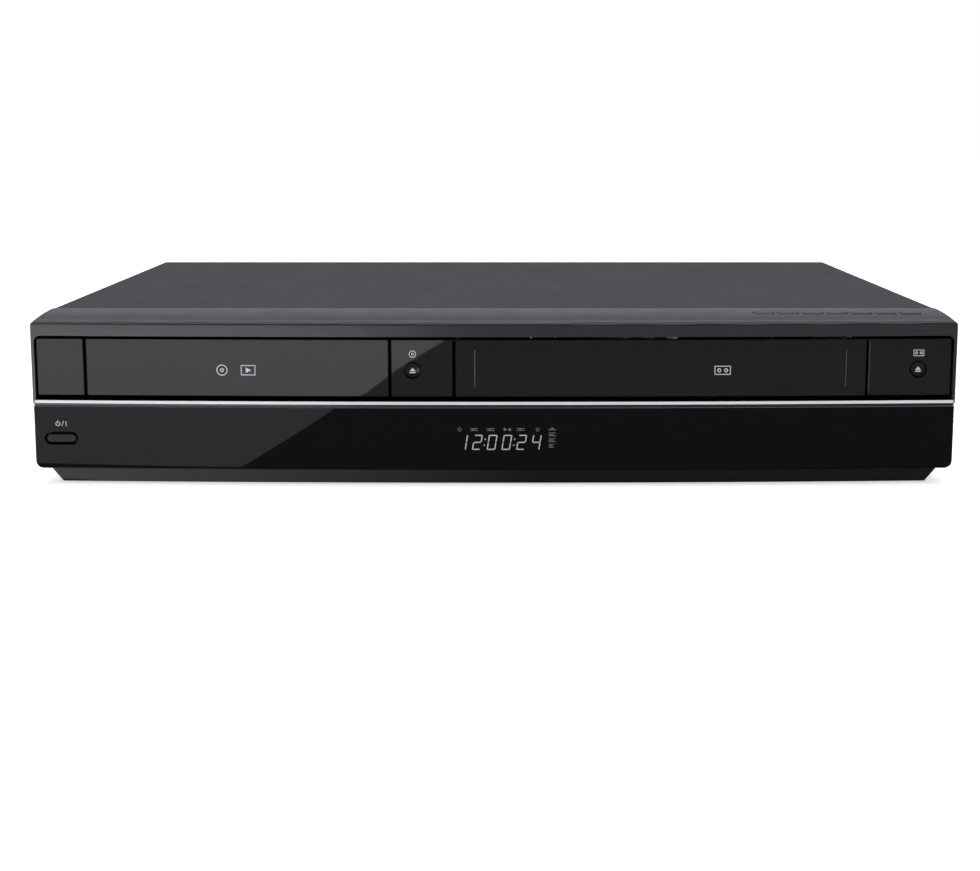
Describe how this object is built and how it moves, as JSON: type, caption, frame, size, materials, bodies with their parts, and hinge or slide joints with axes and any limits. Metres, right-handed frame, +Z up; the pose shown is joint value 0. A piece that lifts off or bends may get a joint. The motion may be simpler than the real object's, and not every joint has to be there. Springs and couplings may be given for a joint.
{
  "type": "dvd vcr combo player",
  "caption": "Low wide player with a sliding disc tray, a swing-in cassette door, gloss front panels, a bright trim strip and a working disc drive and tape deck inside its folded steel case.",
  "frame": {"origin": "on the floor under the middle of the case", "axes": "+X to the viewer's right, +Y from the front to the rear, +Z up"},
  "size_m": [0.43, 0.354, 0.0795],
  "materials": {
    "black_moulding": "fine satin moulding",
    "gloss_black": "polished gloss",
    "bright_trim": "bright metallised strip",
    "painted_steel": "fine textured dark paint",
    "zinc_steel": "zinc plated sheet",
    "screw_steel": "blackened steel",
    "machined_steel": "turned and polished",
    "grey_plastic": "moulded",
    "white_plastic": "natural acetal",
    "circuit_board": "solder mask",
    "paper_board": "phenolic board",
    "display_glass": "smoked glass",
    "rubber_black": "soft rubber",
    "foot_plastic": "rubber foot",
    "nickel": "nickel plated",
    "tape_amber": "polyester tape",
    "ferrite": "ferrite"
  },
  "bodies": {
    "case": {"front_frame": "black_moulding", "badge_panel": "gloss_black", "disc_key_panel": "gloss_black", "tape_key_panel": "gloss_black", "lower_fascia": "gloss_black", "trim_strip": "bright_trim", "top_cover": "painted_steel", "case_screws": "screw_steel", "base_chassis": "zinc_steel", "feet": "foot_plastic", "rear_panel": "painted_steel", "mains_inlet": "grey_plastic", "inlet_pins": "nickel", "jack_block": "grey_plastic", "jack_barrels": "nickel", "tuner_module": "zinc_steel", "fan_frame": "grey_plastic", "front_boards": "paper_board", "tact_switches": "grey_plastic", "display_module": "display_glass", "main_board": "circuit_board", "power_board": "paper_board", "transformer": "tape_amber", "loader_frame": "grey_plastic", "tray_motor": "zinc_steel", "tray_belt": "rubber_black", "clamp_bridge": "zinc_steel", "deck_chassis": "zinc_steel", "carriage_frame": "zinc_steel", "lower_drum": "machined_steel", "tape_heads": "machined_steel"},
    "tray": {"disc_tray": "black_moulding", "tray_fascia": "gloss_black"},
    "gear": {"tray_gear": "white_plastic"},
    "traverse": {"traverse_chassis": "grey_plastic"},
    "turntable_body": {"turntable": "grey_plastic"},
    "pickup": {"optical_pickup": "grey_plastic"},
    "clamper": {"disc_clamper": "white_plastic"},
    "door": {"cassette_door": "gloss_black"},
    "slider": {"carriage_slider": "zinc_steel"},
    "holder": {"cassette_holder": "zinc_steel"},
    "drum": {"upper_drum": "machined_steel"},
    "flywheel": {"capstan_flywheel": "machined_steel"},
    "left_reel": {"reel_table_left": "white_plastic"},
    "right_reel": {"reel_table_right": "white_plastic"},
    "arm": {"pinch_arm": "zinc_steel"},
    "roller": {"pinch_roller": "rubber_black"},
    "left_post": {"loading_post_left": "machined_steel"},
    "right_post": {"loading_post_right": "machined_steel"},
    "rotor": {"fan_rotor": "grey_plastic"},
    "power_key": {"power_button": "gloss_black"},
    "disc_key": {"disc_eject_button": "gloss_black"},
    "tape_key": {"tape_eject_button": "gloss_black"},
    "key_1": {"top_key_1": "black_moulding"},
    "key_2": {"top_key_2": "black_moulding"},
    "key_3": {"top_key_3": "black_moulding"},
    "key_4": {"top_key_4": "black_moulding"},
    "key_5": {"top_key_5": "black_moulding"},
    "key_6": {"top_key_6": "black_moulding"},
    "key_7": {"top_key_7": "black_moulding"}
  },
  "joints": [
    {"name": "tray_slide", "type": "slide", "parent": "case", "child": "tray", "axis": [0, -1, 0], "range_m": [0, 0.135]},
    {"name": "gear_spin", "type": "hinge", "parent": "case", "child": "gear", "pos_m": [-0.079, -0.142, 0.045], "axis": [0, 0, -1], "range_deg": [0, 660]},
    {"name": "traverse_tip", "type": "hinge", "parent": "case", "child": "traverse", "pos_m": [-0.119, -0.018, 0.045], "axis": [-1, 0, 0], "range_deg": [0, 6]},
    {"name": "turntable_spin", "type": "hinge", "parent": "traverse", "child": "turntable_body", "pos_m": [-0.119, -0.10258, 0.04616], "axis": [0, -0.1045, 0.9945], "continuous": true},
    {"name": "pickup_slide", "type": "slide", "parent": "traverse", "child": "pickup", "axis": [0, 0.9945, 0.1045], "range_m": [0, 0.036]},
    {"name": "clamper_spin", "type": "hinge", "parent": "case", "child": "clamper", "pos_m": [-0.119, -0.102, 0.064], "axis": [0, 0, 1], "continuous": true},
    {"name": "door_swing", "type": "hinge", "parent": "case", "child": "door", "pos_m": [0.07755, -0.17164, 0.069], "axis": [0.9998, 0.0201, 0], "range_deg": [0, 88], "stiffness_Nm_per_rad": 0.006, "springref_deg": -28.65},
    {"name": "carriage_in", "type": "slide", "parent": "case", "child": "slider", "axis": [0, 1, 0], "range_m": [0, 0.045]},
    {"name": "holder_down", "type": "slide", "parent": "slider", "child": "holder", "axis": [0, 0, -1], "range_m": [0, 0.0167]},
    {"name": "drum_spin", "type": "hinge", "parent": "case", "child": "drum", "pos_m": [0.07685, 0.036, 0.022], "axis": [0, 0.1045, 0.9945], "continuous": true},
    {"name": "capstan_spin", "type": "hinge", "parent": "case", "child": "flywheel", "pos_m": [0.13, 0.01, 0.013], "axis": [0, 0, 1], "continuous": true},
    {"name": "left_reel_spin", "type": "hinge", "parent": "case", "child": "left_reel", "pos_m": [0.03085, -0.062, 0.022], "axis": [0, 0, 1], "continuous": true},
    {"name": "right_reel_spin", "type": "hinge", "parent": "case", "child": "right_reel", "pos_m": [0.12285, -0.062, 0.022], "axis": [0, 0, 1], "continuous": true},
    {"name": "arm_swing", "type": "hinge", "parent": "case", "child": "arm", "pos_m": [0.158, 0.026, 0.043], "axis": [0, 0, -1], "range_deg": [0, 33]},
    {"name": "roller_spin", "type": "hinge", "parent": "arm", "child": "roller", "pos_m": [0.152, -0.004, 0.034], "axis": [0, 0, 1], "continuous": true},
    {"name": "left_post_slide", "type": "slide", "parent": "case", "child": "left_post", "axis": [-0.3285, 0.9445, 0], "range_m": [0, 0.048]},
    {"name": "right_post_slide", "type": "slide", "parent": "case", "child": "right_post", "axis": [0.3285, 0.9445, 0], "range_m": [0, 0.048]},
    {"name": "fan_spin", "type": "hinge", "parent": "case", "child": "rotor", "pos_m": [0.086, 0.1612, 0.042], "axis": [0, 1, 0], "continuous": true},
    {"name": "power_press", "type": "slide", "parent": "case", "child": "power_key", "axis": [0, 1, 0], "range_m": [0, 0.0009], "stiffness_N_per_m": 400, "springref_m": -0.0002},
    {"name": "disc_eject_press", "type": "slide", "parent": "case", "child": "disc_key", "axis": [0, 1, 0], "range_m": [0, 0.0008], "stiffness_N_per_m": 400, "springref_m": -0.0002},
    {"name": "tape_eject_press", "type": "slide", "parent": "case", "child": "tape_key", "axis": [0, 1, 0], "range_m": [0, 0.0008], "stiffness_N_per_m": 400, "springref_m": -0.0002},
    {"name": "top_key_1_press", "type": "slide", "parent": "case", "child": "key_1", "axis": [0, 0, -1], "range_m": [0, 0.0007], "stiffness_N_per_m": 400, "springref_m": -0.0002},
    {"name": "top_key_2_press", "type": "slide", "parent": "case", "child": "key_2", "axis": [0, 0, -1], "range_m": [0, 0.0007], "stiffness_N_per_m": 400, "springref_m": -0.0002},
    {"name": "top_key_3_press", "type": "slide", "parent": "case", "child": "key_3", "axis": [0, 0, -1], "range_m": [0, 0.0007], "stiffness_N_per_m": 400, "springref_m": -0.0002},
    {"name": "top_key_4_press", "type": "slide", "parent": "case", "child": "key_4", "axis": [0, 0, -1], "range_m": [0, 0.0007], "stiffness_N_per_m": 400, "springref_m": -0.0002},
    {"name": "top_key_5_press", "type": "slide", "parent": "case", "child": "key_5", "axis": [0, 0, -1], "range_m": [0, 0.0007], "stiffness_N_per_m": 400, "springref_m": -0.0002},
    {"name": "top_key_6_press", "type": "slide", "parent": "case", "child": "key_6", "axis": [0, 0, -1], "range_m": [0, 0.0007], "stiffness_N_per_m": 400, "springref_m": -0.0002},
    {"name": "top_key_7_press", "type": "slide", "parent": "case", "child": "key_7", "axis": [0, 0, -1], "range_m": [0, 0.0007], "stiffness_N_per_m": 400, "springref_m": -0.0002}
  ],
  "couplings": [
    {"joint": "gear_spin", "follows": "tray_slide", "rad_per_m": 83.333},
    {"joint": "right_post_slide", "follows": "left_post_slide", "ratio": 1}
  ]
}
